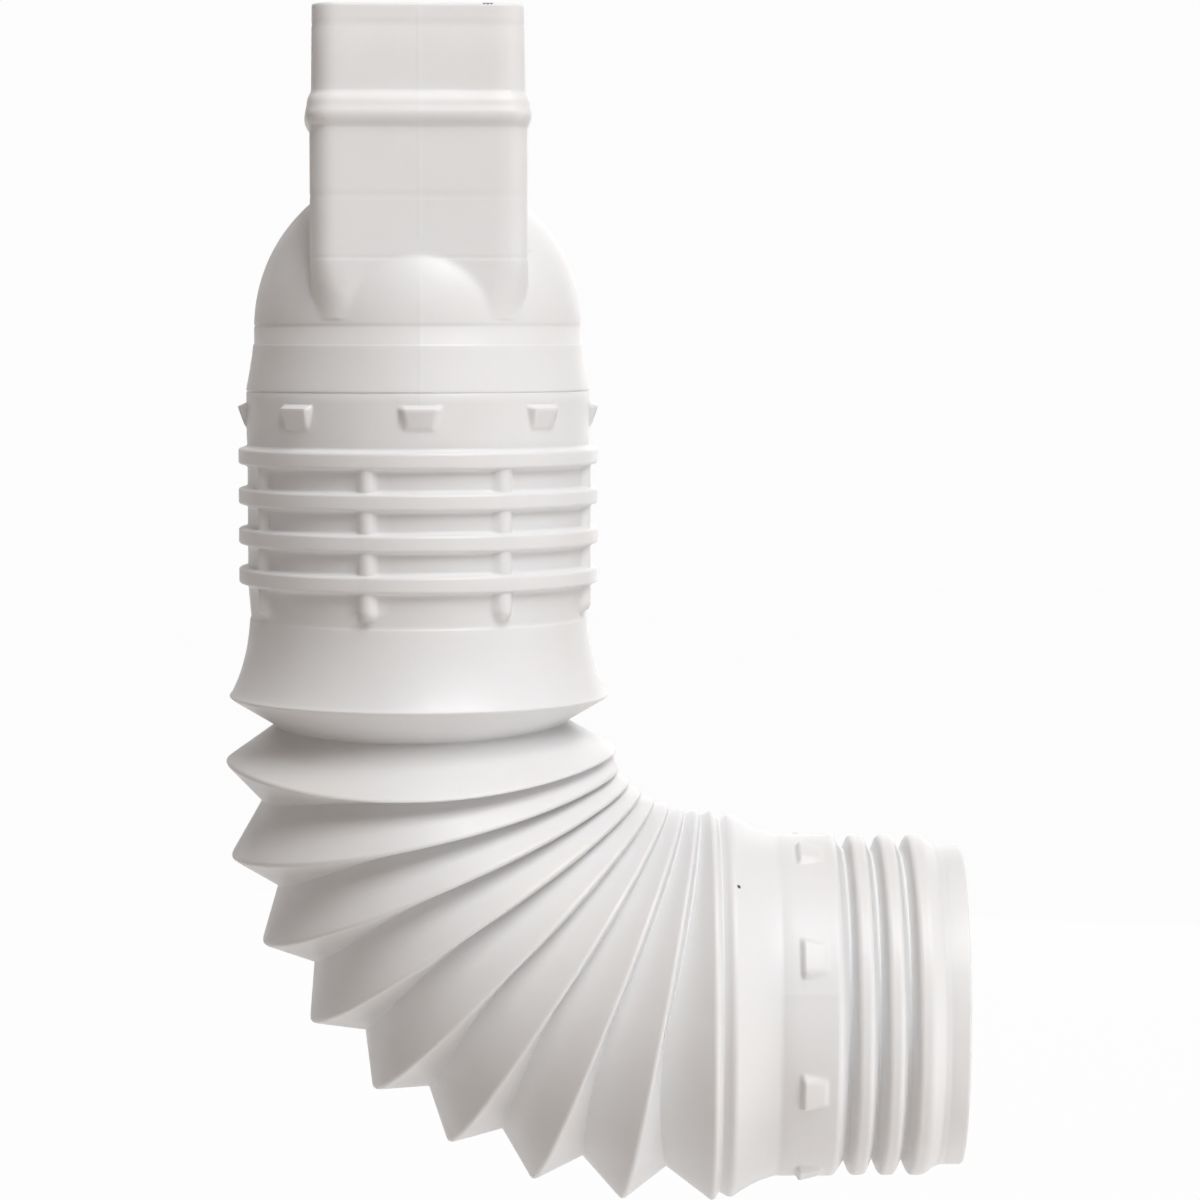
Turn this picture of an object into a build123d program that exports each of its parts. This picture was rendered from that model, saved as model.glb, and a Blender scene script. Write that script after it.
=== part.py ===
import os

from build123d import *

# Downspout that goes into the socket, the room left round it, and the moulded wall
downspout_width = 57.2
downspout_depth = 81.8
socket_clearance = 0.3
wall = 1.5

# Socket: a rounded rectangle, turned a little off the direction of the bend
socket_length = 88.7
socket_corner = 7.0
socket_turn = 3.5
socket_step = 0.7
bead_top = 23.8
bead_height = 11.4
bead_proud = 1.8
bead_round = 4.6

# Dome and round barrel under the socket
dome_radius = 48.0
dome_drop = 2.4
band_height = 4.6
flare_height = 13.6
flare_sag = 0.35
barrel_radius = 50.4
barrel_height = 13.6

# Ring ribs round the barrel, and the half-round bars that cross the grooves
rib_count = 4
rib_pitch = 11.65
rib_radius = 52.8
rib_land = 3.6
rib_foot = 6.6
rib_lead = 5.5
groove_radius = 50.2
bar_count = 8
bar_radius = 3.1
bar_proud = 2.0
bar_turn = 8.6
bar_end_gap = 1.6

# Bell above the folds
neck_radius = 49.4
neck_height = 9.05
bell_radius = 55.4
bell_height = 22.0
bell_sag = 1.45
bell_land = 1.6

# Folds: one under the bell, one that leads into the bend, more stretched open round it, one pressed shut
bend_angle = 90.0
open_folds = 7
first_advance = 18.3
first_turn = 1.8
lead_advance = 17.1
lead_slip = -1.05
open_advance = 15.9
open_slip = 1.25
shut_advance = 5.6
crest_radius = 59.0
crest_land = 1.6
crest_leans = (6.0, 2.5, 1.0)
root_place = 0.36
root_slip = 3.0
first_root_radius = 44.4
open_root_radius = 46.0
shut_root_radius = 48.5

# Material at a crease, outside the bend and inside it, where the folds press together
crest_fill_outside = 2.0
crest_fill_inside = 7.0
root_fill_outside = 1.6
root_fill_inside = 4.2

# Outlet end
mouth_radius = 57.8
mouth_land = 1.6
mouth_length = 10.8
mouth_sag = 1.3
spigot_radius = 51.5
spigot_length = 17.4
spigot_rib_count = 3
spigot_rib_pitch = 8.65
spigot_rib_radius = 50.8
spigot_rib_land = 3.8
spigot_rib_foot = 7.8
spigot_rib_lead = 7.1
spigot_groove_radius = 47.5
lip_radius = 47.8
lip_lead = 6.2
lip_length = 7.7
lip_bevel = 0.6

# Snap cleats: a shelf that faces up the flow, and a ramp down to the wall
cleat_count = 8
cleat_sink = 1.0
cleat_tip_proud = 0.3
barrel_cleat_drop = 4.1
barrel_cleat_length = 6.2
barrel_cleat_proud = 2.8
barrel_cleat_width = 12.8
barrel_cleat_tip_width = 9.5
spigot_cleat_lead = 8.0
spigot_cleat_length = 6.8
spigot_cleat_proud = 2.0
spigot_cleat_width = 10.7
spigot_cleat_tip_width = 8.5
spigot_cleat_turn = 30.0

# Outside of the socket
socket_width = downspout_width + 2 * (socket_clearance + wall)
socket_depth = downspout_depth + 2 * (socket_clearance + wall)
step_depth = bead_top + bead_height / 2

# Depths down from the mouth, each from the one above it
dome_depth = socket_length + dome_drop
band_depth = dome_depth + band_height
flare_depth = band_depth + flare_height
barrel_cleat_depth = flare_depth + barrel_cleat_drop
barrel_depth = flare_depth + barrel_height
first_rib_depth = barrel_depth + rib_lead
ribs_end_depth = first_rib_depth + (rib_count - 1) * rib_pitch + rib_foot / 2
neck_depth = ribs_end_depth + neck_height
bar_end_depth = neck_depth - bar_end_gap
bell_depth = neck_depth + bell_height

# Runs along the outlet's axis from the last crest
mouth_run = mouth_land + mouth_length
spigot_cleat_run = mouth_run + spigot_cleat_lead
spigot_run = mouth_run + spigot_length
first_spigot_rib_run = spigot_run + spigot_rib_lead
lip_run = first_spigot_rib_run + (spigot_rib_count - 1) * spigot_rib_pitch + lip_lead
outlet_run = lip_run + lip_length

# Turn of each fold round the bend, and the fills at its creases
open_turn = (bend_angle - first_turn) / (open_folds + 1)
crest_fill = (crest_fill_outside + crest_fill_inside) / 2
crest_fill_slip = (crest_fill_inside - crest_fill_outside) / 2
root_fill = (root_fill_outside + root_fill_inside) / 2
root_fill_slip = (root_fill_inside - root_fill_outside) / 2
overrun = 2 * wall


def slid(plane, inward, along):
    # The plane moved towards the inside of the bend and along the flow
    return Plane(plane.from_local_coords((inward, 0, along)), plane.x_dir, plane.z_dir)


# Crest and root planes of the folds: local Z runs with the flow, local X to the inside of the bend
folds = [(first_advance, 0, first_turn, first_root_radius, 0)]
folds += [(lead_advance, lead_slip, open_turn, open_root_radius, root_slip)]
folds += [(open_advance, open_slip, open_turn, open_root_radius, root_slip)] * open_folds
folds += [(shut_advance, 0, 0, shut_root_radius, 0)]
leans = [0, *crest_leans] + [0] * (len(folds) - len(crest_leans))

bell_plane = Plane((0, 0, -bell_depth - bell_land), x_dir=(1, 0, 0), z_dir=(0, 0, -1))
crest_planes = [bell_plane]
root_sections = []
for fold, (advance, slip, turn, root_radius, root_outward) in enumerate(folds):
    halfway = crest_planes[-1].rotated((0, -turn / 2, 0))
    root_plane = slid(halfway, slip * root_place - root_outward, advance * root_place)
    root_lean = (leans[fold] + leans[fold + 1]) / 2
    root_sections.append((root_plane.rotated((root_lean, 0, 0)), root_radius))
    crest_planes.append(slid(halfway, slip, advance).rotated((0, -turn / 2, 0)))
fold_crests = [plane.rotated((lean, 0, 0)) for plane, lean in zip(crest_planes, leans)][1:-1]

outlet_plane = crest_planes[-1]
outlet_axis = Axis(outlet_plane.origin, outlet_plane.z_dir)
outlet_section = Plane(outlet_plane.origin, x_dir=outlet_plane.z_dir, z_dir=(0, -1, 0))


def rib_outline(middle, land, foot, rib_reach, groove_reach, inset):
    # Foot, land, land and foot of one ring rib, as places along the axis and reaches from it
    return [
        (middle - foot / 2 + inset / 2, groove_reach - inset),
        (middle - land / 2 + inset / 2, rib_reach - inset),
        (middle + land / 2 - inset / 2, rib_reach - inset),
        (middle + foot / 2 - inset / 2, groove_reach - inset),
    ]


def socket(inset, top):
    # The socket from its top down to the ledge, with the lower part a step wider
    with BuildPart() as prism:
        for start, end, step in ((top, -step_depth, 0), (-step_depth, inset - socket_length, socket_step)):
            with BuildSketch(Plane.XY.offset(start)):
                RectangleRounded(
                    socket_width + 2 * (step - inset),
                    socket_depth + 2 * (step - inset),
                    socket_corner + step - inset,
                    rotation=socket_turn,
                )
            extrude(amount=end - start)
    return prism.part


def bead(inset):
    # The rounded bead round the socket
    with BuildPart() as ring:
        with BuildSketch(Plane.XY.offset(-bead_top - inset)):
            RectangleRounded(
                socket_width + 2 * (bead_proud - inset),
                socket_depth + 2 * (bead_proud - inset),
                socket_corner + bead_proud - inset,
                rotation=socket_turn,
            )
        extrude(amount=2 * inset - bead_height)
        fillet(ring.faces().filter_by(Axis.Z).edges(), bead_round - inset)
    return ring.part


def barrel(inset, bell_fill, end_depth):
    # Dome, band, flare, ribbed barrel and bell, turned about the socket's axis
    ribs = []
    for rib in range(rib_count):
        middle = first_rib_depth + rib * rib_pitch
        ribs += rib_outline(middle, rib_land, rib_foot, rib_radius, groove_radius, inset)
    dome_reach = dome_radius - inset
    barrel_reach = barrel_radius - inset
    neck_reach = neck_radius - inset
    bell_reach = bell_radius - bell_fill
    with BuildPart() as turned:
        with BuildSketch(Plane.XZ):
            with BuildLine():
                RadiusArc((0, dome_reach - dome_depth), (dome_reach, -dome_depth), dome_reach)
                Line((dome_reach, -dome_depth), (dome_reach, -band_depth))
                SagittaArc((dome_reach, -band_depth), (barrel_reach, -flare_depth), flare_sag)
                Polyline(
                    (barrel_reach, -flare_depth),
                    (barrel_reach, -barrel_depth),
                    *[(reach, -depth) for depth, reach in ribs],
                    (neck_reach, -neck_depth),
                )
                SagittaArc((neck_reach, -neck_depth), (bell_reach, -bell_depth), -bell_sag)
                Polyline(
                    (bell_reach, -bell_depth),
                    (bell_reach, -end_depth),
                    (0, -end_depth),
                    (0, dome_reach - dome_depth),
                )
            make_face()
        revolve(axis=Axis.Z)
    return turned.part


def bellows(creases):
    # Straight panels from one crease circle to the next
    with BuildPart() as panels:
        for (plane, radius), (next_plane, next_radius) in zip(creases, creases[1:]):
            with BuildSketch(plane):
                Circle(radius)
            with BuildSketch(next_plane):
                Circle(next_radius)
            loft(ruled=True)
    return panels.part


def outlet(inset, mouth_fill, start_run, end_run):
    # Mouth flare, plain spigot, ribs and lip, turned about the outlet's axis
    ribs = []
    for rib in range(spigot_rib_count):
        middle = first_spigot_rib_run + rib * spigot_rib_pitch
        ribs += rib_outline(
            middle, spigot_rib_land, spigot_rib_foot, spigot_rib_radius, spigot_groove_radius, inset
        )
    mouth_reach = mouth_radius - mouth_fill
    spigot_reach = spigot_radius - inset
    lip_reach = lip_radius - inset
    with BuildPart() as turned:
        with BuildSketch(outlet_section):
            with BuildLine():
                Polyline((start_run, 0), (start_run, mouth_reach), (mouth_land, mouth_reach))
                SagittaArc((mouth_land, mouth_reach), (mouth_run, spigot_reach), -mouth_sag)
                Polyline(
                    (mouth_run, spigot_reach),
                    (spigot_run, spigot_reach),
                    *ribs[:-1],
                    (lip_run, lip_reach),
                    (end_run, lip_reach),
                    (end_run, 0),
                    (start_run, 0),
                )
            make_face()
        revolve(axis=outlet_axis)
    return turned.part


def cleat(reach, length, proud, width, tip_width):
    # One snap cleat on a barrel of the given reach, with the flow along Z
    with BuildPart() as hook:
        for place, height, across in ((0, proud, width), (length, cleat_tip_proud, tip_width)):
            with BuildSketch(Plane.XY.offset(place)):
                with Locations((reach + (height - cleat_sink) / 2, 0)):
                    Rectangle(height + cleat_sink, across)
        loft()
    return hook.part


def round_bar(reach, length):
    # One half-round bar along a barrel of the given reach, with a ball at its lower end
    with BuildPart() as bar:
        with Locations((reach + bar_proud - bar_radius, 0, 0)):
            Cylinder(bar_radius, length - bar_radius, align=(Align.CENTER, Align.CENTER, Align.MIN))
            with Locations((0, 0, length - bar_radius)):
                Sphere(bar_radius)
    return bar.part


# Creases of the outer skin, two circles to a crest, and of the waterway inside it
skin_creases = [(bell_plane, bell_radius)]
water_creases = [(slid(bell_plane, 0, -bell_land / 2), bell_radius - crest_fill_outside)]
for (root_plane, root_radius), crest_plane in zip(root_sections, [*fold_crests, None]):
    skin_creases.append((root_plane, root_radius))
    water_creases.append((slid(root_plane, -root_fill_slip, 0), root_radius - root_fill))
    if crest_plane is not None:
        skin_creases.append((slid(crest_plane, 0, -crest_land / 2), crest_radius))
        skin_creases.append((slid(crest_plane, 0, crest_land / 2), crest_radius))
        inner_plane = slid(crest_plane, -crest_fill_slip, -crest_land / 2)
        water_creases.append((inner_plane, crest_radius - crest_fill))
skin_creases.append((outlet_plane, mouth_radius))
water_creases.append((slid(outlet_plane, 0, mouth_land / 2), mouth_radius - crest_fill_outside))

barrel_cleat = cleat(
    barrel_radius, barrel_cleat_length, barrel_cleat_proud, barrel_cleat_width, barrel_cleat_tip_width
)
spigot_cleat = cleat(
    spigot_radius, spigot_cleat_length, spigot_cleat_proud, spigot_cleat_width, spigot_cleat_tip_width
)
groove_bar = round_bar(groove_radius, bar_end_depth - first_rib_depth)
skin_forms = [
    socket(0, 0),
    bead(0),
    barrel(0, 0, bell_depth + bell_land),
    bellows(skin_creases),
    outlet(0, 0, 0, outlet_run),
]
water_forms = [
    socket(wall, overrun),
    bead(wall),
    barrel(wall, crest_fill_outside, bell_depth + bell_land / 2),
    bellows(water_creases),
    outlet(wall, crest_fill_outside, mouth_land / 2, outlet_run + overrun),
]

# The moulded piece: its outer skin, with the way of the water taken out of it
with BuildPart() as downspout_elbow:
    for form in skin_forms:
        add(form)
    with Locations(slid(bell_plane, 0, first_rib_depth - bell_depth - bell_land)):
        with PolarLocations(0, bar_count, 180 / bar_count - bar_turn):
            add(groove_bar)
    with Locations(slid(bell_plane, 0, barrel_cleat_depth - bell_depth - bell_land)):
        with PolarLocations(0, cleat_count, -socket_turn):
            add(barrel_cleat)
    with Locations(slid(outlet_plane, 0, spigot_cleat_run)):
        with PolarLocations(0, cleat_count, spigot_cleat_turn):
            add(spigot_cleat)
    chamfer(downspout_elbow.edges().group_by(Axis.X)[-1], lip_bevel)
    for form in water_forms:
        add(form, mode=Mode.SUBTRACT)

os.makedirs("parts", exist_ok=True)
downspout_elbow.part.label = "downspout_elbow"
export_step(downspout_elbow.part, "parts/downspout_elbow.step")
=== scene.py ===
import math
import bpy
import bmesh
import numpy as np
from mathutils import Matrix, Vector


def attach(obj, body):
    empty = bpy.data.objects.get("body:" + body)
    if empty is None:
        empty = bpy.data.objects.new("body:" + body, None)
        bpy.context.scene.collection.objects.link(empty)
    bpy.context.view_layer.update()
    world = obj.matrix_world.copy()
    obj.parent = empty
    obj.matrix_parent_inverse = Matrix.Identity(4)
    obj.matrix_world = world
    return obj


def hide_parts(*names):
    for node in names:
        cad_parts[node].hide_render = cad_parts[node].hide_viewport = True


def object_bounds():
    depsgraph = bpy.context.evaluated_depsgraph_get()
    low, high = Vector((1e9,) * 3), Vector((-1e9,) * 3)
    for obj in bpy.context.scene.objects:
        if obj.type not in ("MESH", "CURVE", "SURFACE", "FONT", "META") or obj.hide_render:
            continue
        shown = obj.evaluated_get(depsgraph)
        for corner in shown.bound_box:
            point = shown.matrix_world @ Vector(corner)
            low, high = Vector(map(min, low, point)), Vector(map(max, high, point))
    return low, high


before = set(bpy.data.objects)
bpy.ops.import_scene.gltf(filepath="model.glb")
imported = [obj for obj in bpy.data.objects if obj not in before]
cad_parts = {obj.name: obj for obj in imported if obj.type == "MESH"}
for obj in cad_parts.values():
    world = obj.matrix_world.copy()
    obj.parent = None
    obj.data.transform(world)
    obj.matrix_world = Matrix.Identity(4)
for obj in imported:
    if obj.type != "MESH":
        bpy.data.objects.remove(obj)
cadLow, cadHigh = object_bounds()
mm = 0.001  # the piece's sizes are in millimetres and degrees, the scene is in metres
tiny = 1e-6  # keeps a division away from nought
print("frame loaded", [round(v, 4) for v in cadHigh - cadLow])


# Camera: in front of the bend, looking a little down
cameraSet = {
    "place": (53.5, -1058.0, -91.7),
    "pitchDown": 4.3,
    "focalInFrames": 2.99,  # focal length over the width of the picture
}

cameraData = bpy.data.cameras.new("camera")
cameraData.lens = cameraData.sensor_width * cameraSet["focalInFrames"]
camera = bpy.data.objects.new("camera", cameraData)
camera.location = Vector(cameraSet["place"]) * mm
camera.rotation_euler = (math.radians(90 - cameraSet["pitchDown"]), 0, 0)
bpy.context.scene.collection.objects.link(camera)
bpy.context.scene.camera = camera
print("camera set")


# Skin: its columns are angles round the flow, 0 at the inside of the bend and 90 at the front
skinSet = {
    "columnStep": 4.0,
    "cornerAngles": (53.4, 126.6, 233.4, 306.6),  # the socket's corners before its turn
    "cornerReach": 8.0,
    "cornerStep": 1.6,
    "partingHalf": 0.5,
    "gentleSteps": 2,  # steps that round a gentle corner of a profile
    "sharpSteps": 3,  # and a sharp one, which has a holding ring on each side too
    "hold": 1.15,  # how far a holding ring lies from its corner, in softnesses
    "mostLeg": 0.4,  # the most of the way to the next corner that a rounding takes up
    "weld": 0.001,
    "smoothAngle": 60.0,
}

# Socket with its bead, and the dome that it runs out into
socketSet = {
    "width": 60.8,
    "depth": 85.4,
    "corner": 7.0,
    "cornerGrow": 5.5,  # the corners get rounder where they run out into the dome
    "cornerRun": 18.0,
    "turn": 3.5,
    "wall": 1.5,
    "length": 88.7,
    "ledge": 0.5,  # half the height over which the corners end
    "beadMiddle": 29.5,
    "beadLand": 1.1,  # half of the bead's flat top
    "beadRound": 4.6,
    "beadProud": 1.8,
    "beadFoot": 0.5,
    "lowerStep": 0.7,  # each side stands out this much more under the bead
    "lowerStepHalf": 1.5,
    "draft": 0.6,  # and draws in this much from the bead to the rim
    "rimRound": 0.6,
    "rimShare": 0.3,  # the rim's middle ring lies this share of the rounding in and down
    "trimDepths": (5.9, 54.0, 71.3),  # faint rings that the mould leaves
    "trimDip": 0.18,
    "trimHalf": 0.9,
    "partingTurn": 86.5,
    "partingProud": 0.05,
}

domeSet = {"radius": 48.0, "depth": 91.1, "crease": 0.4}

# Rings down the socket and the dome, closer where the form turns
headRowSet = {
    "plainDepths": (3.5, 15.0, 22.0, 38.0, 43.0, 48.0, 51.5),
    "beadRows": 16,
    "beadHalf": 5.5,
    "domeTop": 55.2,
    "domeStep": 1.1,
    "domeShort": 1.2,  # the dome's rings stop this much above the socket's end
    "endRows": 6,
    "endHalf": 0.7,
}


def smoothStep(low, high, value):
    t = np.clip((value - low) / (high - low), 0, 1)
    return t * t * (3 - 2 * t)


def smoothMax(a, b, soft):
    # the larger of two reaches, with a fillet where they cross
    h = np.clip(soft - np.abs(a - b), 0, None)
    return np.maximum(a, b) + h * h / (4 * soft)


def skinAngles():
    angles = set(np.arange(0, 360, skinSet["columnStep"]))
    reach = skinSet["cornerReach"]
    for corner in skinSet["cornerAngles"]:
        middle = corner - socketSet["turn"]
        near = {a for a in angles if abs(a - middle) < reach}
        angles = (angles - near) | set(np.arange(middle - reach, middle + reach, skinSet["cornerStep"]))
    half = skinSet["partingHalf"]
    for line in (socketSet["partingTurn"], outletSet["partingTurn"]):
        for middle in (line, line + 180):
            near = {a for a in angles if abs(a - middle) < 2 * half}
            angles = (angles - near) | {middle - half, middle, middle + half}
    return np.radians(sorted(angles))


def rectangleReach(angle, corner):
    # how far the socket's rounded rectangle lies from its axis
    turn = math.radians(socketSet["turn"])
    across = np.abs(np.cos(angle) * math.cos(turn) - np.sin(angle) * math.sin(turn))
    along = np.abs(np.cos(angle) * math.sin(turn) + np.sin(angle) * math.cos(turn))
    halfWidth = socketSet["width"] / 2
    halfDepth = socketSet["depth"] / 2
    side = halfWidth / np.maximum(across, tiny)
    front = halfDepth / np.maximum(along, tiny)
    cornerX = halfWidth - corner
    cornerY = halfDepth - corner
    reachOn = across * cornerX + along * cornerY
    inside = np.maximum(reachOn ** 2 - cornerX ** 2 - cornerY ** 2 + corner ** 2, 0)
    onCorner = reachOn + np.sqrt(inside)
    return np.where(side * along <= cornerY, side, np.where(front * across <= cornerX, front, onCorner))


def domeReach(depth):
    up = np.clip(domeSet["depth"] - depth, 0, domeSet["radius"])
    return np.sqrt(domeSet["radius"] ** 2 - up ** 2)


def beadProud(depth):
    # the rounded bead round the socket
    off = np.maximum(np.abs(depth - socketSet["beadMiddle"]) - socketSet["beadLand"], 0)
    drop = socketSet["beadRound"] - np.sqrt(np.maximum(socketSet["beadRound"] ** 2 - off ** 2, 0))
    return smoothMax(socketSet["beadProud"] - drop, np.zeros_like(off), socketSet["beadFoot"])


def headReach(angle, depth):
    # socket, bead and dome together, at any angle and depth
    angle, depth = np.broadcast_arrays(np.asarray(angle, float), np.asarray(depth, float))
    stepHalf = socketSet["lowerStepHalf"]
    lower = socketSet["lowerStep"] * smoothStep(-stepHalf, stepHalf, depth - socketSet["beadMiddle"])
    draft = socketSet["draft"] * np.clip(1 - depth / socketSet["beadMiddle"], 0, 1)
    runOut = smoothStep(-socketSet["cornerRun"], 0, depth - socketSet["length"])
    corner = socketSet["corner"] + socketSet["cornerGrow"] * runOut
    rectangle = rectangleReach(angle, corner) + lower - draft + beadProud(depth)
    for trim in socketSet["trimDepths"]:
        off = np.clip(np.abs(depth - trim) / socketSet["trimHalf"], 0, 1)
        rectangle = rectangle - socketSet["trimDip"] * (1 - off) ** 2
    dome = domeReach(depth)
    both = smoothMax(rectangle, dome, domeSet["crease"])
    ending = smoothStep(-socketSet["ledge"], socketSet["ledge"], depth - socketSet["length"])
    return both * (1 - ending) + dome * ending


def headDepths():
    depths = [socketSet["rimRound"] * 2, *headRowSet["plainDepths"]]
    for trim in socketSet["trimDepths"]:
        depths += [trim - socketSet["trimHalf"], trim, trim + socketSet["trimHalf"]]
    half = headRowSet["beadHalf"]
    depths += list(np.linspace(-half, half, headRowSet["beadRows"]) + socketSet["beadMiddle"])
    end = socketSet["length"]
    depths += list(np.arange(headRowSet["domeTop"], end - headRowSet["domeShort"], headRowSet["domeStep"]))
    half = headRowSet["endHalf"]
    depths += list(np.linspace(end - half, end + half, headRowSet["endRows"]))
    return sorted(depths)


# Barrel and bell: the profile's corners are (depth, radius), with a softness where a third number stands
barrelSet = {
    "bandGroove": ((90.0, 47.98), (90.5, 47.75), (91.0, 48.0)),
    "bandEnd": (95.6, 48.0),
    "flare": ((96.0, 48.3, 0.3), (99.5, 48.75, 2.0), (104.3, 49.55, 2.0), (108.7, 50.4, 2.0)),
    "flareGroove": ((109.1, 50.4), (109.4, 50.1), (109.9, 50.4)),
    "foot": 122.9,
    "footSoft": 0.8,
    "radius": 50.4,
    "ribs": 4,
    "ribPitch": 11.65,
    "firstRib": 128.4,
    "ribRadius": 52.85,
    "ribLand": 4.3,
    "ribFoot": 5.9,
    "ribSoft": 0.65,
    "grooveRadius": 50.2,
    "neck": (175.7, 49.4),
    "neckRows": 9,
    "neckRowsGap": 1.6,  # from the last rib's foot to the first of these rings
    "neckRowsPast": 0.8,  # and from the bars' ends to the last
    "neckStep": (176.3, 49.75, 0.3),
    "bell": ((180.3, 50.05), (186.3, 51.0), (192.6, 52.75), (198.0, 55.1)),
    "bellSoft": 2.4,
    "bellEdge": (199.3, 56.3, 2.0),
    "bellEdgeSteps": 5,
    "wall": 1.5,
    "barTurn": 13.9,
    "bars": 8,
    "barRadius": 3.1,
    "barProud": 2.0,
    "barEnd": 174.1,
    "barFillet": 0.9,
    "cleatTurns": (86.5, 42.8, 130.2, 176.5, 266.5, 222.8, 310.2, 356.5),
    "cleatTop": 113.4,
    "cleatLength": 6.4,
    "cleatProud": 2.8,
    "cleatTipProud": 0.5,
    "cleatWidth": 11.0,
    "cleatTipWidth": 8.4,
    "cleatSoft": 0.7,
}

# Bellows: each fold steps on from the crest before it, and turns
foldSet = {
    "bend": 90.0,
    "openFolds": 7,
    "firstAdvance": 17.7,
    "firstTurn": 1.2,
    "firstSlip": 0.5,
    "leadAdvance": 17.1,
    "leadSlip": -1.1,
    "openAdvance": 15.85,
    "openSlip": 1.3,
    "shutAdvance": 5.65,
    "crestRadius": 59.9,  # half way round the bend
    "crestEase": 1.7,  # and this much less at the first and last crest
    "crestDepth": 59.3,  # the most that a crest reaches to the front and back
    "crestSoft": 1.3,
    "crestDroops": (7.2, 3.2, 1.2),  # the first crests hang down at the front
    # where a root lies on the way between its crests: outside the bend, at the front, inside it
    "bellShares": (0.44, 0.42, 0.44),
    "openShares": (0.46, 0.05, 0.25),
    "shutShares": (0.33, 0.33, 0.33),
    "shareEase": 1.3,
    # how deep it lies under them, outside the bend and inside it, where the folds are pressed shut
    "bellDepths": (14.4, 13.8),
    "openDepths": (10.3, 1.6),
    "shutDepths": (2.6, 2.6),
    "depthEase": 0.4,
    "rootSoft": 0.35,
    # from the outer skin to the waterway, outside the bend and inside it
    "crestFill": (2.0, 5.5),
    "rootFill": (1.5, 3.4),
}

# Outlet: runs are measured along the flow from the last fold
outletSet = {
    "mouthRun": -0.6,
    "mouthRadius": 57.1,
    "mouth": ((2.7, 54.8), (6.0, 52.95), (9.4, 51.5)),
    "mouthSoft": 1.3,
    "mouthEnd": 12.4,
    "mouthEndSoft": 1.2,
    "radius": 50.6,
    "stepRun": 13.2,  # faint ring where the mould parts meet
    "stepHalf": 0.5,
    "stepDip": 0.14,
    "foot": 29.8,
    "footSoft": 1.6,
    "ribs": 3,
    "ribPitch": 8.65,
    "firstRib": 36.9,
    "ribRadius": 50.4,
    "ribLand": 3.9,
    "ribFoot": 8.0,
    "ribSoft": 1.1,
    "grooveRadius": 45.6,
    "lipRun": 60.4,
    "lipRadius": 47.2,
    "lipSoft": 1.4,
    "end": 68.1,
    "endTilt": 1.1,  # the end is cut a little short at the front
    "endRound": 0.9,
    "endSteps": 4,
    "wall": 1.5,
    "partingTurn": 76.5,
    "partingProud": 0.05,
    "cleatTurn": 19.5,
    "cleats": 8,
    "cleatTop": 18.8,
    "cleatLength": 7.0,
    "cleatProud": 2.0,
    "cleatTipProud": 0.4,
    "cleatWidth": 10.7,
    "cleatTipWidth": 8.3,
    "cleatSoft": 0.7,
}

cleatRowSet = {"before": 1.2, "after": 1.3, "step": 0.55}  # rings across the cleats, and a little past them

# Inside of the wall: how soft its corners are, and where its rings lie in the socket and the dome
insideSet = {
    "spigotRibSoft": 0.9,
    "spigotSoft": 1.0,
    "crestSoft": 0.8,
    "rootSoft": 0.9,
    "bellRise": 0.6,  # the bell's edge lies this much higher than outside
    "neckSoft": 1.0,
    "barrelRibSoft": 0.7,
    "barrelRibSteps": 1,
    "flareSoft": 2.0,
    "bandSoft": 1.0,
    "socketDepths": (4.0, 20.0, 24.5, 27.0, 29.5, 32.0, 34.5, 45.0),
    "domeDepths": (54, 88, 2),  # start, stop and step
    "lastDepth": 89.6,
}

angles = skinAngles()
atFront = np.clip(np.sin(angles), 0, 1)  # 1 at the front, 0 from the sides to the back

# A plane's own x points to the inside of the bend, y to the front and z along the flow
mouthPlane = Matrix.Rotation(math.radians(180), 4, "X")


def slid(plane, inward, along):
    return plane @ Matrix.Translation((inward, 0, along))


def ring(plane, reach, along):
    # one ring of the skin, a row of points round a plane
    flat = np.zeros_like(angles)
    local = np.stack([np.cos(angles) * reach, np.sin(angles) * reach, flat + along], axis=1)
    turn = np.array(plane.to_3x3())
    return local @ turn.T + np.array(plane.translation)


def profileRings(plane, profile):
    # a profile's corners, each (place along the flow, radius, softness, steps), as corner rings
    return [(ring(plane, radius, place), softness, steps) for place, radius, softness, steps in profile]


def softened(corners):
    # each corner ring is (points, softness, steps), and becomes a few rings round its corner,
    # with one more ring on each side of a sharp one, so that the walls beside it stay flat
    rows = []
    for place, (points, softness, steps) in enumerate(corners):
        if steps == 0 or place in (0, len(corners) - 1):
            rows.append(points)
            continue
        legs = []
        for other in (corners[place - 1][0], corners[place + 1][0]):
            leg = other - points
            length = np.linalg.norm(leg, axis=1, keepdims=True)
            legs.append(leg / length * np.minimum(softness, skinSet["mostLeg"] * length))
        held = steps >= skinSet["sharpSteps"]
        if held:
            rows.append(points + skinSet["hold"] * legs[0])
        for t in np.linspace(0, 1, steps + 1):
            rows.append(points + (1 - t) ** 2 * legs[0] + t ** 2 * legs[1])
        if held:
            rows.append(points + skinSet["hold"] * legs[1])
    return rows


def ribMiddles(sizes):
    return [sizes["firstRib"] + rib * sizes["ribPitch"] for rib in range(sizes["ribs"])]


def ribProfile(sizes, inset):
    # every rib's foot, land and foot, on the outside or an inset inside it
    land = sizes["ribLand"] / 2 - inset / 2
    foot = sizes["ribFoot"] / 2 - inset / 2
    low = sizes["grooveRadius"] - inset
    high = sizes["ribRadius"] - inset
    profile = []
    for middle in ribMiddles(sizes):
        profile += [(middle - foot, low), (middle - land, high), (middle + land, high), (middle + foot, low)]
    return profile


def cleatRows(sizes):
    top = sizes["cleatTop"]
    end = top + sizes["cleatLength"]
    return np.arange(top - cleatRowSet["before"], end + cleatRowSet["after"], cleatRowSet["step"])


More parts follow.
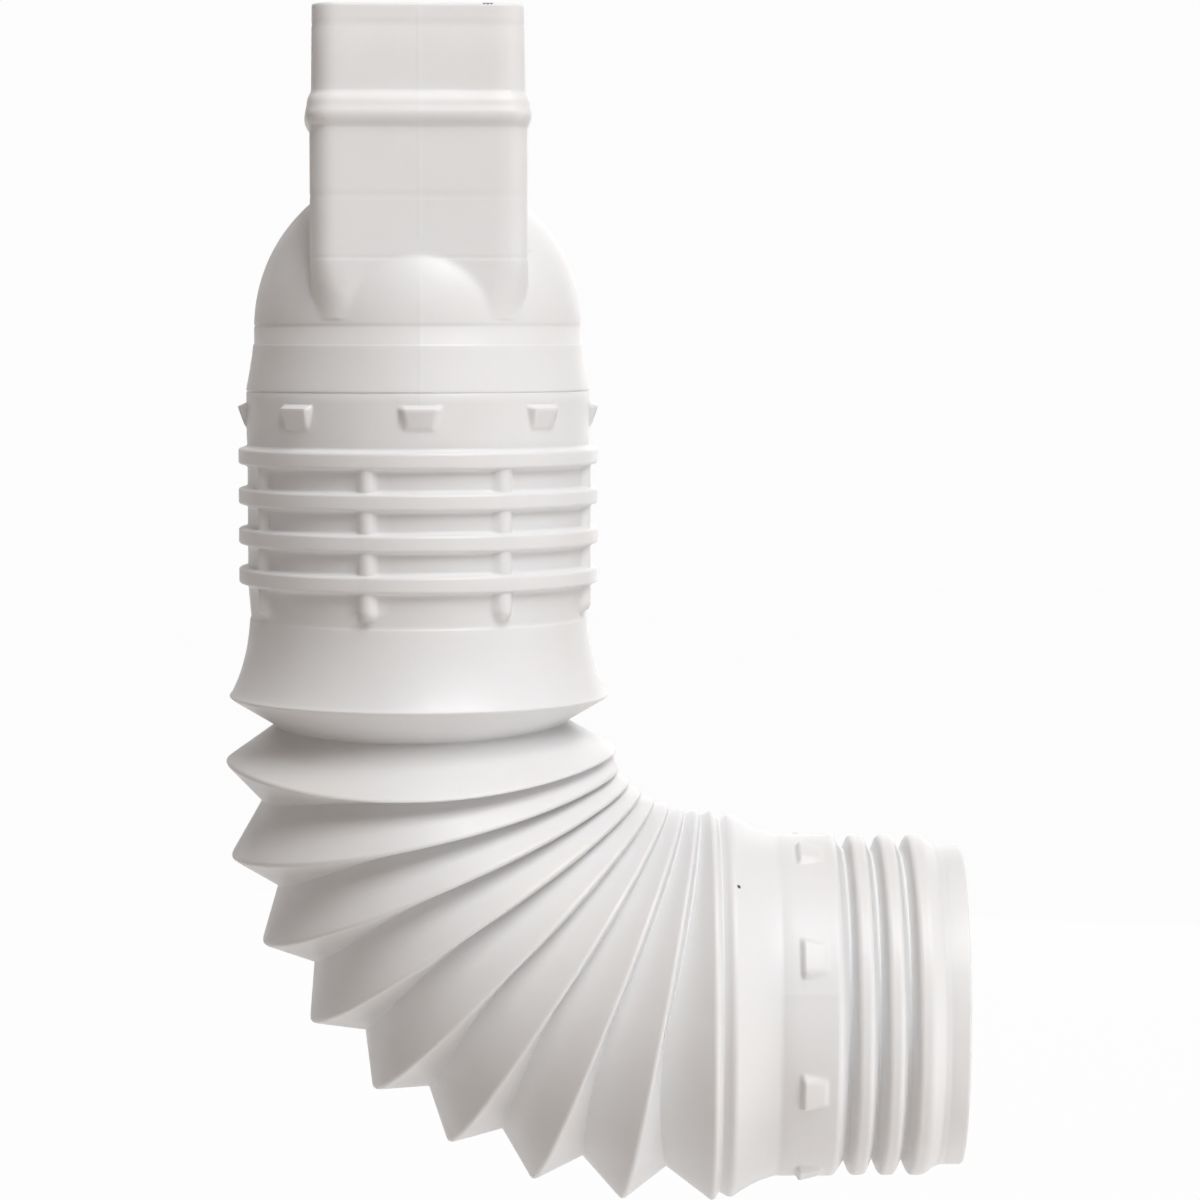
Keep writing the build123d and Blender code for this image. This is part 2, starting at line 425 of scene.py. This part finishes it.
def outletEnd():
    return outletSet["end"] - outletSet["endTilt"] * atFront


def ovalReach(wide, deep):
    return wide * deep / np.hypot(deep * np.cos(angles), wide * np.sin(angles))


def foldChain():
    # crests of the bellows, each a plane, its reach and its droop, chained round the bend
    openTurn = (foldSet["bend"] - foldSet["firstTurn"]) / (foldSet["openFolds"] + 1)
    folds = [(foldSet["firstAdvance"], foldSet["firstSlip"], foldSet["firstTurn"])]
    folds += [(foldSet["leadAdvance"], foldSet["leadSlip"], openTurn)]
    folds += [(foldSet["openAdvance"], foldSet["openSlip"], openTurn)] * foldSet["openFolds"]
    droops = [*foldSet["crestDroops"]] + [0] * (len(folds) - len(foldSet["crestDroops"]))
    bellDepth, bellRadius = barrelSet["bellEdge"][:2]
    plane = slid(mouthPlane, 0, bellDepth)
    crests = [(plane, bellRadius, 0)]
    for place, (advance, slip, turn) in enumerate(folds):
        halfTurn = Matrix.Rotation(math.radians(turn / 2), 4, "Y")
        plane = slid(plane @ halfTurn, slip, advance) @ halfTurn
        fromMiddle = 2 * place / (len(folds) - 1) - 1
        radius = foldSet["crestRadius"] - foldSet["crestEase"] * fromMiddle ** 2
        reach = ovalReach(radius, min(radius, foldSet["crestDepth"]))
        crests.append((plane, reach, droops[place]))
    outlet = slid(plane, 0, foldSet["shutAdvance"])
    crests.append((slid(outlet, 0, outletSet["mouthRun"]), outletSet["mouthRadius"], 0))
    return crests, outlet


foldCrests, outletPlane = foldChain()
foldKinds = ["bell"] + ["open"] * (len(foldCrests) - 3) + ["shut"]


def crestRing(place, sunk):
    plane, reach, droop = foldCrests[place]
    return ring(plane, reach - sunk, droop * atFront ** 2)


def rootRing(place, sunk):
    # a root ring lies part of the way between two crest rings, and inwards of them
    out, front, inner = foldSet[foldKinds[place] + "Shares"]
    deepOut, deepIn = foldSet[foldKinds[place] + "Depths"]
    share = front + (out - front) * np.clip(-np.cos(angles), 0, 1) ** foldSet["shareEase"]
    share = (share + (inner - front) * np.clip(np.cos(angles), 0, 1))[:, None]
    outward = 0.5 - 0.5 * np.cos(angles)  # 0 inside the bend, 1 outside it
    depth = deepIn + (deepOut - deepIn) * outward ** foldSet["depthEase"] + sunk
    points = crestRing(place, 0) * (1 - share) + crestRing(place + 1, 0) * share
    before, after = (np.array(foldCrests[k][0].translation) for k in (place, place + 1))
    middle = before * (1 - share) + after * share
    inward = middle - points
    return points + inward / np.linalg.norm(inward, axis=1, keepdims=True) * depth[:, None]


def fillDepth(fill):
    # wall at a crease, from outside the bend to inside it
    outside, inside = fill
    return (outside + inside) / 2 + (inside - outside) / 2 * np.cos(angles)


def headRows():
    # the rim's rounding, then the socket and the dome
    rim = socketSet["rimRound"]
    part = socketSet["rimShare"] * rim
    top = headReach(angles, 0)
    rows = [ring(mouthPlane, top - inset, depth) for inset, depth in ((rim, 0), (part, part), (0, rim))]
    for depth in headDepths():
        rows.append(ring(mouthPlane, headReach(angles, depth), depth))
    return rows


def barrelCorners():
    # band, flare, the cleats' land, ribs, neck and bell
    gentle, sharp = skinSet["gentleSteps"], skinSet["sharpSteps"]
    neckDepth, neckRadius = barrelSet["neck"]
    groove = barrelSet["grooveRadius"]
    profile = [(*corner, 0, 0) for corner in (*barrelSet["bandGroove"], barrelSet["bandEnd"])]
    profile += [(*corner, gentle) for corner in barrelSet["flare"]]
    profile += [(*corner, 0, 0) for corner in barrelSet["flareGroove"]]
    profile += [(depth, barrelSet["radius"], 0, 0) for depth in cleatRows(barrelSet)]
    profile.append((barrelSet["foot"], barrelSet["radius"], barrelSet["footSoft"], gentle))
    profile += [(*corner, barrelSet["ribSoft"], sharp) for corner in ribProfile(barrelSet, 0)]
    lastFoot = ribMiddles(barrelSet)[-1] + barrelSet["ribFoot"] / 2
    first = lastFoot + barrelSet["neckRowsGap"]
    last = barrelSet["barEnd"] + barrelSet["neckRowsPast"]
    for depth in np.linspace(first, last, barrelSet["neckRows"]):
        share = (depth - lastFoot) / (neckDepth - lastFoot)
        profile.append((depth, groove + share * (neckRadius - groove), 0, 0))
    profile.append((neckDepth, neckRadius, 0, 0))
    profile.append((*barrelSet["neckStep"], gentle))
    profile += [(*corner, barrelSet["bellSoft"], gentle) for corner in barrelSet["bell"]]
    profile.append((*barrelSet["bellEdge"], barrelSet["bellEdgeSteps"]))
    return profileRings(mouthPlane, profile)


def foldCorners():
    corners = []
    for place in range(len(foldKinds)):
        corners.append((rootRing(place, 0), foldSet["rootSoft"], skinSet["sharpSteps"]))
        corners.append((crestRing(place + 1, 0), foldSet["crestSoft"], skinSet["sharpSteps"]))
    return corners


def outletCorners():
    # mouth, faint ring, the cleats' land, ribs and lip
    gentle, sharp = skinSet["gentleSteps"], skinSet["sharpSteps"]
    radius, lip = outletSet["radius"], outletSet["lipRadius"]
    profile = [(*corner, outletSet["mouthSoft"], gentle) for corner in outletSet["mouth"]]
    profile.append((outletSet["mouthEnd"], radius, outletSet["mouthEndSoft"], gentle))
    for side, dip in ((-1, 0), (0, 1), (1, 0)):
        run = outletSet["stepRun"] + side * outletSet["stepHalf"]
        profile.append((run, radius - dip * outletSet["stepDip"], 0, 0))
    profile += [(run, radius, 0, 0) for run in cleatRows(outletSet)]
    profile.append((outletSet["foot"], radius, outletSet["footSoft"], sharp))
    profile += [(*corner, outletSet["ribSoft"], sharp) for corner in ribProfile(outletSet, 0)[:-1]]
    profile.append((outletSet["lipRun"], lip, outletSet["lipSoft"], sharp))
    profile.append((outletEnd(), lip, outletSet["endRound"], outletSet["endSteps"]))
    profile.append((outletEnd(), lip - outletSet["wall"], 0, 0))
    return profileRings(outletPlane, profile)


def outsideRows():
    # socket and dome, then corner rings down to the outlet's end
    rows = headRows()
    corners = [(rows[-1], 0, 0)] + barrelCorners() + foldCorners() + outletCorners()
    return rows + softened(corners)[1:]


def spigotBore():
    gentle = skinSet["gentleSteps"]
    wall = outletSet["wall"]
    profile = [(outletEnd(), outletSet["lipRadius"] - wall, 0, 0)]
    for run, radius in reversed(ribProfile(outletSet, wall)[:-1]):
        profile.append((run, radius, insideSet["spigotRibSoft"], gentle))
    for run in (outletSet["foot"], outletSet["mouthEnd"]):
        profile.append((run, outletSet["radius"] - wall, insideSet["spigotSoft"], gentle))
    return profileRings(outletPlane, profile)


def foldBore():
    gentle = skinSet["gentleSteps"]
    corners = []
    for place in reversed(range(len(foldKinds))):
        crest = crestRing(place + 1, fillDepth(foldSet["crestFill"]))
        root = rootRing(place, fillDepth(foldSet["rootFill"]))
        corners += [(crest, insideSet["crestSoft"], gentle), (root, insideSet["rootSoft"], gentle)]
    return corners


def barrelBore():
    gentle = skinSet["gentleSteps"]
    wall = barrelSet["wall"]
    bellDepth, bellRadius, bellSoft = barrelSet["bellEdge"]
    neckDepth, neckRadius = barrelSet["neck"]
    profile = [(bellDepth - insideSet["bellRise"], bellRadius - foldSet["crestFill"][0], bellSoft, gentle)]
    profile += [(depth, radius - wall, 0, 0) for depth, radius in reversed(barrelSet["bell"][:-1])]
    profile.append((neckDepth, neckRadius - wall, insideSet["neckSoft"], gentle))
    for depth, radius in reversed(ribProfile(barrelSet, wall)):
        profile.append((depth, radius, insideSet["barrelRibSoft"], insideSet["barrelRibSteps"]))
    profile.append((barrelSet["foot"], barrelSet["radius"] - wall, 0, 0))
    profile.append((barrelSet["flare"][-1][0], barrelSet["radius"] - wall, insideSet["flareSoft"], gentle))
    profile.append((barrelSet["flare"][0][0], domeSet["radius"] - wall, insideSet["bandSoft"], gentle))
    return profileRings(mouthPlane, profile)


def headBore():
    wall, rim = socketSet["wall"], socketSet["rimRound"]
    depths = [*insideSet["socketDepths"], *range(*insideSet["domeDepths"]), insideSet["lastDepth"]]
    profile = [(depth, headReach(angles, depth) - wall, 0, 0) for depth in reversed(depths)]
    top = headReach(angles, 0)
    profile += [(rim, top - wall, 0, 0), (0, top - rim, 0, 0)]
    return profileRings(mouthPlane, profile)


def insideRows():
    # the waterway, from the outlet's end back up to the socket's mouth
    return softened(spigotBore() + foldBore() + barrelBore() + headBore())[1:]


def wrapSkin(rows):
    # a flat grid with one row to each ring, rolled up and closed on itself
    bpy.ops.object.select_all(action="DESELECT")
    bpy.ops.mesh.primitive_grid_add(x_subdivisions=len(angles), y_subdivisions=len(rows) - 1, size=1)
    piece = bpy.context.object
    piece.name = "elbow_skin"
    piece.data.name = "elbow_skin"
    closed = np.stack([np.vstack([row, row[:1]]) for row in rows]) * mm
    piece.data.vertices.foreach_set("co", closed.reshape(-1).astype(np.float32))
    piece.data.update()
    bpy.ops.object.mode_set(mode="EDIT")
    bpy.ops.mesh.select_all(action="SELECT")
    bpy.ops.mesh.remove_doubles(threshold=skinSet["weld"] * mm)
    bpy.ops.mesh.normals_make_consistent(inside=False)
    bpy.ops.object.mode_set(mode="OBJECT")
    return piece


elbow = wrapSkin(outsideRows() + insideRows())
print("skin wrapped", len(elbow.data.vertices), "points")


# Details drawn out of the skin: where it gets more columns, and which of its points they move
detailSet = {
    "cuts": 3,
    "barReach": 7.0,
    "barMargin": 1.0,
    "cleatReach": 11.0,
    "cleatMargin": 1.3,
    "creaseReach": 2.6,
    "creaseTop": 54.0,
    "headTop": 2.0,
    "headPast": 1.0,  # how far past the socket's end the head is counted
    "headSlack": 0.6,  # a point less than this under the outside still counts as outside
    "tubeSlack": 0.3,  # the same on the barrel and the spigot
    "ringSlack": 0.02,  # points this close along the flow are on one ring
    "partingTop": 0.3,
    "partingSlack": 0.1,
    "outletTop": 1.0,
}

barTurns = [barrelSet["barTurn"] + 360 / barrelSet["bars"] * bar for bar in range(barrelSet["bars"])]
spigotCleatTurns = [
    outletSet["cleatTurn"] + 360 / outletSet["cleats"] * cleat for cleat in range(outletSet["cleats"])
]


def skinPlaces(piece):
    # every point as angle, reach and run in the barrel's frame and in the outlet's
    points = np.empty(len(piece.data.vertices) * 3, np.float32)
    piece.data.vertices.foreach_get("co", points)
    points = points.reshape(-1, 3).astype(float) / mm
    places = {}
    for name, plane in (("barrel", mouthPlane), ("outlet", outletPlane)):
        turn = np.array(plane.to_3x3())
        x, y, run = ((points - np.array(plane.translation)) @ turn).T
        places[name] = (np.arctan2(y, x), np.hypot(x, y), run)
    return points, places


def angleOff(angle, turn):
    # the angle from a feature's own direction, from -180 to 180 degrees
    return (np.degrees(angle) - turn + 180) % 360 - 180


def nearAny(angle, turns, reach):
    return np.any([np.abs(angleOff(angle, turn)) < reach for turn in turns], axis=0)


def outerHead(angle, reach, depth):
    return reach > headReach(angle, depth) - detailSet["headSlack"]


def outerBarrel(reach):
    return reach > barrelSet["neck"][1] - detailSet["tubeSlack"]


def outerSpigot(reach):
    return reach > outletSet["radius"] - detailSet["tubeSlack"]


def besideCleats(angle, along, turns, sizes):
    margin = detailSet["cleatMargin"]
    top = sizes["cleatTop"]
    level = (along > top - margin) & (along < top + sizes["cleatLength"] + margin)
    return level & nearAny(angle, turns, detailSet["cleatReach"])


def cutPoints(places):
    # which points lie where the bars, the cleats and the dome's crease need more columns
    angle, reach, depth = places["barrel"]
    margin = detailSet["barMargin"]
    besideBars = (depth > barrelSet["firstRib"] - margin) & (depth < barrelSet["barEnd"] + margin)
    besideBars &= nearAny(angle, barTurns, detailSet["barReach"])
    cleats = besideCleats(angle, depth, barrelSet["cleatTurns"], barrelSet)
    wanted = outerBarrel(reach) & (besideBars | cleats)

    rectangle = rectangleReach(angle, socketSet["corner"]) + socketSet["lowerStep"]
    nearCrease = np.abs(rectangle - domeReach(depth)) < detailSet["creaseReach"]
    nearCrease &= (depth > detailSet["creaseTop"]) & (depth < socketSet["length"] + detailSet["headPast"])
    wanted |= nearCrease & outerHead(angle, reach, depth)

    angle, reach, run = places["outlet"]
    return wanted | (outerSpigot(reach) & besideCleats(angle, run, spigotCleatTurns, outletSet))


def cutColumns(piece):
    # the edges that run along a ring between two of those points are divided
    places = skinPlaces(piece)[1]
    wanted = cutPoints(places)
    depth, run = places["barrel"][2], places["outlet"][2]
    slack, bellDepth = detailSet["ringSlack"], barrelSet["bellEdge"][0]
    bpy.ops.object.mode_set(mode="EDIT")
    bpy.ops.mesh.select_mode(type="EDGE")
    bpy.ops.mesh.select_all(action="DESELECT")
    skin = bmesh.from_edit_mesh(piece.data)
    skin.verts.ensure_lookup_table()
    for edge in skin.edges:
        a, b = (v.index for v in edge.verts)
        if wanted[a] and wanted[b]:
            onBarrel = abs(depth[a] - depth[b]) < slack and depth[a] < bellDepth
            onOutlet = abs(run[a] - run[b]) < slack and run[a] > 0
            edge.select_set(onBarrel or onOutlet)
    bmesh.update_edit_mesh(piece.data)
    bpy.ops.mesh.subdivide(number_cuts=detailSet["cuts"])
    bpy.ops.object.mode_set(mode="OBJECT")


def cleatHeight(across, along, sizes):
    # a shelf at the top and a ramp down, with soft edges
    length, soft = sizes["cleatLength"], sizes["cleatSoft"]
    share = np.clip(along / length, 0, 1)
    height = sizes["cleatProud"] + (sizes["cleatTipProud"] - sizes["cleatProud"]) * share
    half = (sizes["cleatWidth"] + (sizes["cleatTipWidth"] - sizes["cleatWidth"]) * share) / 2
    sides = smoothStep(-soft, soft, half - np.abs(across))
    ends = smoothStep(-soft, soft, along) * smoothStep(-soft, soft, length - along)
    return height * sides * ends


def withCleats(grown, outer, angle, along, turns, sizes):
    for turn in turns:
        across = np.radians(angleOff(angle, turn)) * sizes["radius"]
        height = cleatHeight(across, along - sizes["cleatTop"], sizes)
        grown = np.where(outer, grown + height, grown)
    return grown


def withParting(grown, outer, angle, sizes):
    lines = (sizes["partingTurn"], sizes["partingTurn"] + 180)
    onLine = outer & nearAny(angle, lines, detailSet["partingSlack"])
    return np.where(onLine, grown + sizes["partingProud"], grown)


def withBars(grown, outer, angle, depth):
    # each bar is a rod sunk in the barrel, with a ball for its end
    barMiddle = barrelSet["grooveRadius"] + barrelSet["barProud"] - barrelSet["barRadius"]
    past = np.maximum(depth - (barrelSet["barEnd"] - barrelSet["barRadius"]), 0)
    for turn in barTurns:
        across = np.radians(angleOff(angle, turn)) * barrelSet["grooveRadius"]
        rise = np.sqrt(np.maximum(barrelSet["barRadius"] ** 2 - across ** 2 - past ** 2, 0))
        bar = np.where(rise > 0, barMiddle + rise, 0)
        grown = np.where(outer, smoothMax(grown, bar, barrelSet["barFillet"]), grown)
    return grown


def grownBarrel(angle, reach, depth):
    # new points on the dome's crease are settled first, then the details stand out
    grown = reach.copy()
    onHead = outerHead(angle, reach, depth)
    head = onHead & (depth > detailSet["headTop"]) & (depth < socketSet["length"] + detailSet["headPast"])
    grown[head] = headReach(angle[head], depth[head])
    outer = outerBarrel(reach) & (depth > barrelSet["bandGroove"][0][0]) & (depth < barrelSet["neck"][0])
    grown = withBars(grown, outer & (depth > barrelSet["firstRib"]), angle, depth)
    grown = withCleats(grown, outer, angle, depth, barrelSet["cleatTurns"], barrelSet)
    parted = onHead & (depth > detailSet["partingTop"]) & (depth < barrelSet["foot"])
    return withParting(grown, parted, angle, socketSet)


def grownOutlet(angle, reach, run):
    outer = outerSpigot(reach) & (run > outletSet["mouthEnd"]) & (run < outletSet["foot"])
    grown = withCleats(reach, outer, angle, run, spigotCleatTurns, outletSet)
    return withParting(grown, outer, angle, outletSet)


def raiseDetails(piece):
    # bars, cleats and parting lines are drawn out of the skin, away from its axis
    points, places = skinPlaces(piece)
    angle, reach, depth = places["barrel"]
    scale = grownBarrel(angle, reach, depth) / np.maximum(reach, tiny)
    onBarrel = depth < barrelSet["bellEdge"][0]
    points[onBarrel, :2] *= scale[onBarrel, None]

    angle, reach, run = places["outlet"]
    scale = grownOutlet(angle, reach, run) / np.maximum(reach, tiny)
    onOutlet = run > detailSet["outletTop"]
    axis = np.array(outletPlane.translation)[1:]
    points[onOutlet, 1:] = axis + (points[onOutlet, 1:] - axis) * scale[onOutlet, None]

    piece.data.vertices.foreach_set("co", (points * mm).reshape(-1).astype(np.float32))
    piece.data.update()


cutColumns(elbow)
raiseDetails(elbow)
bpy.ops.object.select_all(action="DESELECT")
elbow.select_set(True)
bpy.context.view_layer.objects.active = elbow
bpy.ops.object.shade_smooth_by_angle(angle=math.radians(skinSet["smoothAngle"]))
print("details raised", len(elbow.data.polygons), "faces")


# White polyethylene: a plain cool white, satin, that lets a little light through
plasticSet = {
    "pale": (0.79, 0.802, 0.816, 1),
    "shade": (0.776, 0.78, 0.784, 1),
    "cloudScale": 22.0,
    "cloudDetail": 3,
    "cloudSpread": (0.35, 0.6),
    "roughScale": 132.0,
    "roughDetail": 4,
    "roughSpread": (0.3, 0.7),
    "rough": (0.35, 0.46),
    "throughWeight": 0.15,
    "throughReach": (1.0, 0.8, 0.6),
    "throughScale": 0.003,  # this and the depths below are in metres
    "waveScale": 38.0,
    "waveDetail": 1,
    "waveDepth": 0.00025,
    "grainScale": 900.0,
    "grainDetail": 2,
    "grainDepth": 0.00002,
    "darkMark": (0.03, 0.028, 0.026, 1),
    "specks": (  # one on the mouth, and three dark spots close in a short row on the rim
        ((93.3, -38.1, -250.9), 0.75),
        ((21.0, -40.8, 0.1), 0.65),
        ((22.0, -40.73, 0.1), 0.7),
        ((23.0, -40.67, 0.1), 0.65),
    ),
    "speckCore": 0.6,  # the share of a speck that is fully dark
}


def whitePlastic():
    material = bpy.data.materials.new("white_polyethylene_satin")
    material.use_nodes = True
    nodes, links = material.node_tree.nodes, material.node_tree.links
    shader = nodes["Principled BSDF"]
    place = nodes.new("ShaderNodeTexCoord").outputs["Object"]

    def noise(name):
        node = nodes.new("ShaderNodeTexNoise")
        node.inputs["Scale"].default_value = plasticSet[name + "Scale"]
        node.inputs["Detail"].default_value = plasticSet[name + "Detail"]
        links.new(place, node.inputs["Vector"])
        return node.outputs["Fac"]

    def spread(value, source, target=(0.0, 1.0)):
        node = nodes.new("ShaderNodeMapRange")
        node.inputs["From Min"].default_value, node.inputs["From Max"].default_value = source
        node.inputs["To Min"].default_value, node.inputs["To Max"].default_value = target
        links.new(value, node.inputs["Value"])
        return node.outputs["Result"]

    def mixed(share, colour):
        node = nodes.new("ShaderNodeMix")
        node.data_type = "RGBA"
        node.inputs["B"].default_value = colour
        links.new(share, node.inputs["Factor"])
        return node

    def bump(name):
        node = nodes.new("ShaderNodeBump")
        node.inputs["Distance"].default_value = plasticSet[name + "Depth"]
        links.new(noise(name), node.inputs["Height"])
        return node

    tone = mixed(spread(noise("cloud"), plasticSet["cloudSpread"]), plasticSet["pale"])
    tone.inputs["A"].default_value = plasticSet["shade"]
    for spot, size in plasticSet["specks"]:
        away = nodes.new("ShaderNodeVectorMath")
        away.operation = "DISTANCE"
        away.inputs[1].default_value = Vector(spot) * mm
        links.new(place, away.inputs[0])
        edge = size * mm
        darkness = spread(away.outputs["Value"], (edge, edge * plasticSet["speckCore"]))
        mark = mixed(darkness, plasticSet["darkMark"])
        links.new(tone.outputs["Result"], mark.inputs["A"])
        tone = mark
    links.new(tone.outputs["Result"], shader.inputs["Base Color"])

    rough = spread(noise("rough"), plasticSet["roughSpread"], plasticSet["rough"])
    links.new(rough, shader.inputs["Roughness"])
    shader.inputs["Subsurface Weight"].default_value = plasticSet["throughWeight"]
    shader.inputs["Subsurface Radius"].default_value = plasticSet["throughReach"]
    shader.inputs["Subsurface Scale"].default_value = plasticSet["throughScale"]

    # a blown wall is slightly uneven, with a fine grain on it
    wave, grain = bump("wave"), bump("grain")
    links.new(wave.outputs["Normal"], grain.inputs["Normal"])
    links.new(grain.outputs["Normal"], shader.inputs["Normal"])
    return material


elbow.data.materials.clear()
elbow.data.materials.append(whitePlastic())
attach(elbow, "root")
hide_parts("downspout_elbow")
print("plastic laid on")


# Stage, in metres: a pale floor well under the piece, which hangs, and soft light from the upper right
stageSet = {
    "floorDrop": 0.25,
    "floorSize": 12.0,
    "floorTone": (0.82, 0.79, 0.765, 1),
    "floorRough": 0.9,
    "whiteShare": 0.97,
    "white": (1, 1, 1, 1),
    "worldWhite": 0.978,
    "worldTone": (1.0, 0.74, 0.58, 1),
    "worldLight": 0.14,
    "lamps": (  # place, size and watts
        ("key", (0.66, -1.12, 1.38), 1.2, 32.0),
        ("overhead", (0.2, -0.1, 1.5), 1.3, 5.0),
        ("right", (1.9, -0.4, 0.0), 1.6, 1.2),
        ("front", (0.3, -2.2, 0.0), 1.6, 1.4),
        ("back", (0.5, 1.9, 0.1), 1.6, 8.0),
        ("bounce", (0.42, -0.2, -0.5), 0.4, 0.75),
    ),
    "aim": (0.045, 0.0, -0.19),
}


def whiteToCamera(nodes, links):
    # 1 for what the camera, a reflection or a clear piece sees
    path = nodes.new("ShaderNodeLightPath")
    seen = path.outputs["Is Camera Ray"]
    for name in ("Is Glossy Ray", "Is Transmission Ray"):
        either = nodes.new("ShaderNodeMath")
        either.operation = "MAXIMUM"
        links.new(seen, either.inputs[0])
        links.new(path.outputs[name], either.inputs[1])
        seen = either.outputs["Value"]
    return seen


def layFloor():
    bpy.ops.object.select_all(action="DESELECT")
    low = cadLow.z - stageSet["floorDrop"]
    bpy.ops.mesh.primitive_plane_add(size=stageSet["floorSize"], location=(0, 0, low))
    floor = bpy.context.object
    floor.name = "floor"
    material = bpy.data.materials.new("pale_floor")
    material.use_nodes = True
    nodes, links = material.node_tree.nodes, material.node_tree.links
    matte = nodes["Principled BSDF"]
    matte.inputs["Base Color"].default_value = stageSet["floorTone"]
    matte.inputs["Roughness"].default_value = stageSet["floorRough"]
    glow = nodes.new("ShaderNodeEmission")
    share = nodes.new("ShaderNodeMath")
    share.operation = "MULTIPLY"
    share.inputs[1].default_value = stageSet["whiteShare"]
    links.new(whiteToCamera(nodes, links), share.inputs[0])
    mix = nodes.new("ShaderNodeMixShader")
    links.new(share.outputs["Value"], mix.inputs["Fac"])
    links.new(matte.outputs["BSDF"], mix.inputs[1])
    links.new(glow.outputs["Emission"], mix.inputs[2])
    links.new(mix.outputs["Shader"], nodes["Material Output"].inputs["Surface"])
    floor.data.materials.append(material)


def lightWorld():
    world = bpy.data.worlds.new("studio")
    world.use_nodes = True
    bpy.context.scene.world = world
    nodes, links = world.node_tree.nodes, world.node_tree.links
    soft = nodes["Background"]
    soft.inputs["Color"].default_value = stageSet["worldTone"]
    soft.inputs["Strength"].default_value = stageSet["worldLight"]
    white = nodes.new("ShaderNodeBackground")
    white.inputs["Color"].default_value = stageSet["white"]
    white.inputs["Strength"].default_value = stageSet["worldWhite"]
    mix = nodes.new("ShaderNodeMixShader")
    links.new(whiteToCamera(nodes, links), mix.inputs["Fac"])
    links.new(soft.outputs["Background"], mix.inputs[1])
    links.new(white.outputs["Background"], mix.inputs[2])
    links.new(mix.outputs["Shader"], nodes["World Output"].inputs["Surface"])


def hangLamps():
    for name, place, size, power in stageSet["lamps"]:
        lamp = bpy.data.lights.new(name, "AREA")
        lamp.size = size
        lamp.energy = power
        holder = bpy.data.objects.new(name, lamp)
        holder.location = place
        aim = Vector(stageSet["aim"]) - holder.location
        holder.rotation_euler = aim.to_track_quat("-Z", "Y").to_euler()
        bpy.context.scene.collection.objects.link(holder)


layFloor()
lightWorld()
hangLamps()
bpy.context.scene.view_settings.view_transform = "Standard"
print("stage lit")
